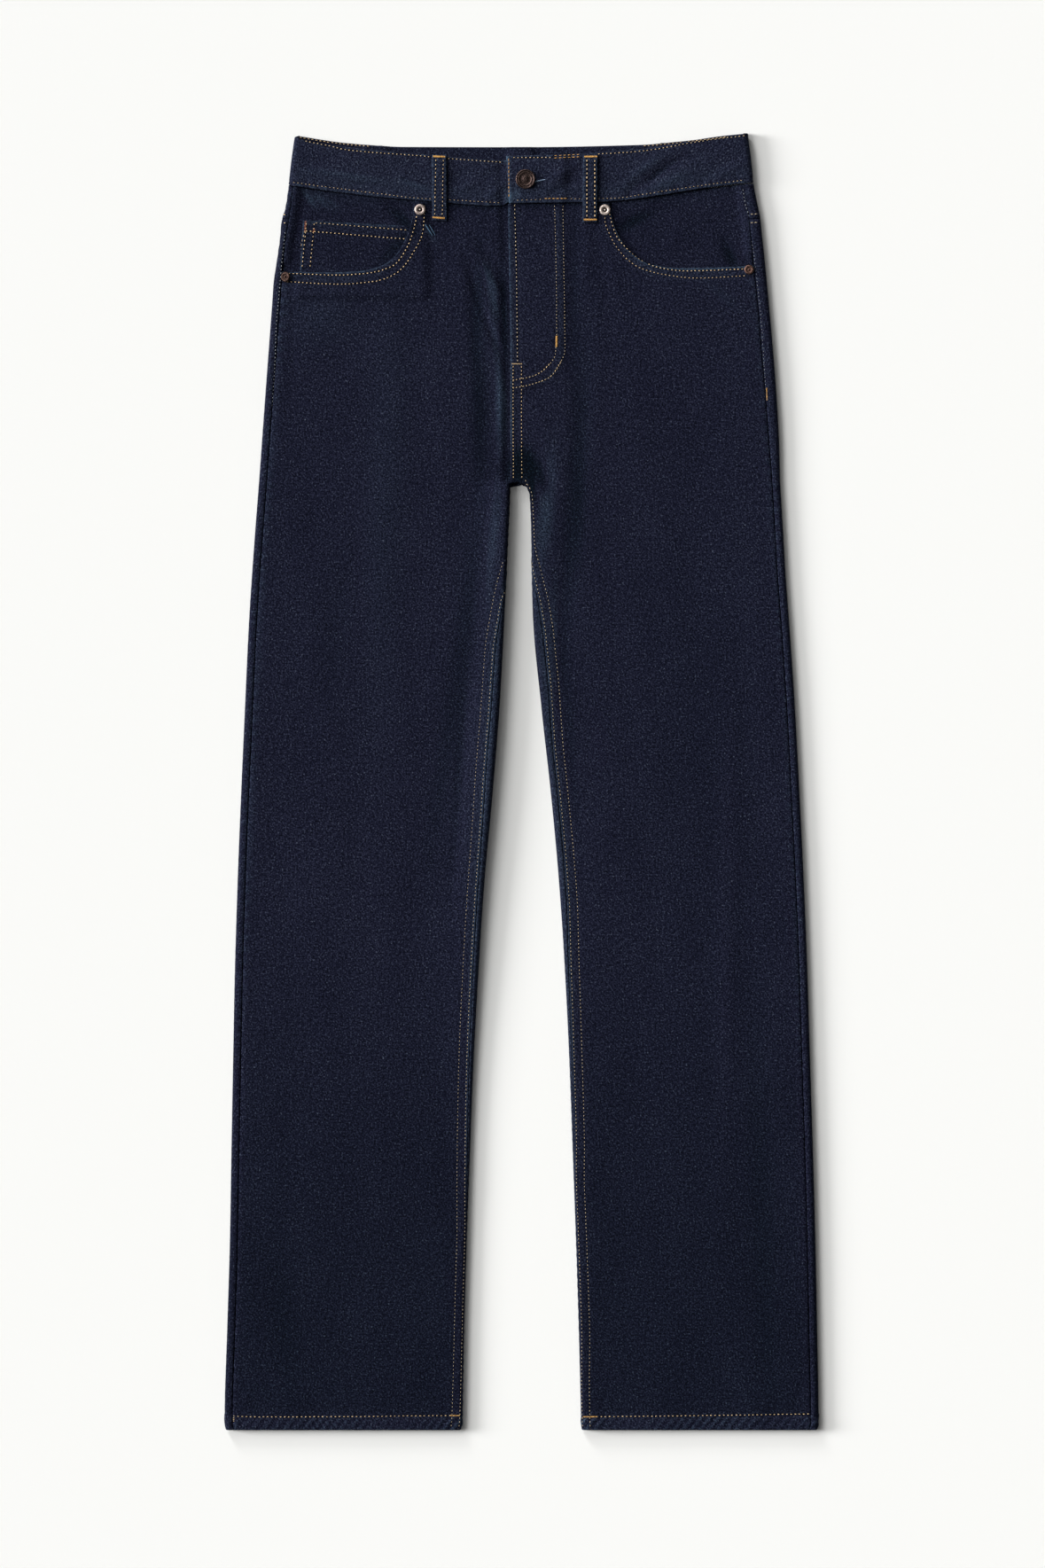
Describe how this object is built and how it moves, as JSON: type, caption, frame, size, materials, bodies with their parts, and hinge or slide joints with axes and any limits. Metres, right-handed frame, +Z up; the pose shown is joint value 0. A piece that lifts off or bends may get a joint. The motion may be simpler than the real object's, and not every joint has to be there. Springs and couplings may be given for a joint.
{
  "type": "straight leg jeans",
  "caption": "Straight leg jeans in dark indigo denim, laid flat on their back, fly buttoned at the waistband, with curved front pockets, coin pocket, belt loops and rivets.",
  "frame": {"origin": "centre of the bounding box's underside, on the surface the jeans lie on, between the legs", "axes": "+X towards the wearer's left leg, +Y from the hems to the waistband, +Z up off the surface, out of the garment's front"},
  "size_m": [0.509, 1.1118, 0.0133],
  "materials": {
    "denim": "raw indigo denim twill, dark with blue-grey specks, matte",
    "denim_waistband": "the same denim, doubled and slightly worn at its edges, matte",
    "denim_loops": "the same denim, folded into strips, worn at the edges",
    "rivet_copper": "antique copper plating with worn bright high spots",
    "button_bronze": "dark antique bronze plating, satin"
  },
  "bodies": {
    "root": {"front_leg_right": "denim", "back_leg_right": "denim", "yoke_back_right": "denim", "pocket_facing_right": "denim", "back_pocket_right": "denim", "belt_loop_back_right": "denim_loops", "belt_loop_front_right": "denim_loops", "rivet_top_right": "rivet_copper", "rivet_side_right": "rivet_copper", "front_leg_left": "denim", "back_leg_left": "denim", "yoke_back_left": "denim", "pocket_facing_left": "denim", "back_pocket_left": "denim", "belt_loop_back_left": "denim_loops", "belt_loop_front_left": "denim_loops", "rivet_top_left": "rivet_copper", "rivet_side_left": "rivet_copper", "belt_loop_back_centre": "denim_loops", "waistband": "denim_waistband", "coin_pocket": "denim", "fly_facing": "denim", "fly_underlap": "denim", "button": "button_bronze"}
  },
  "joints": []
}
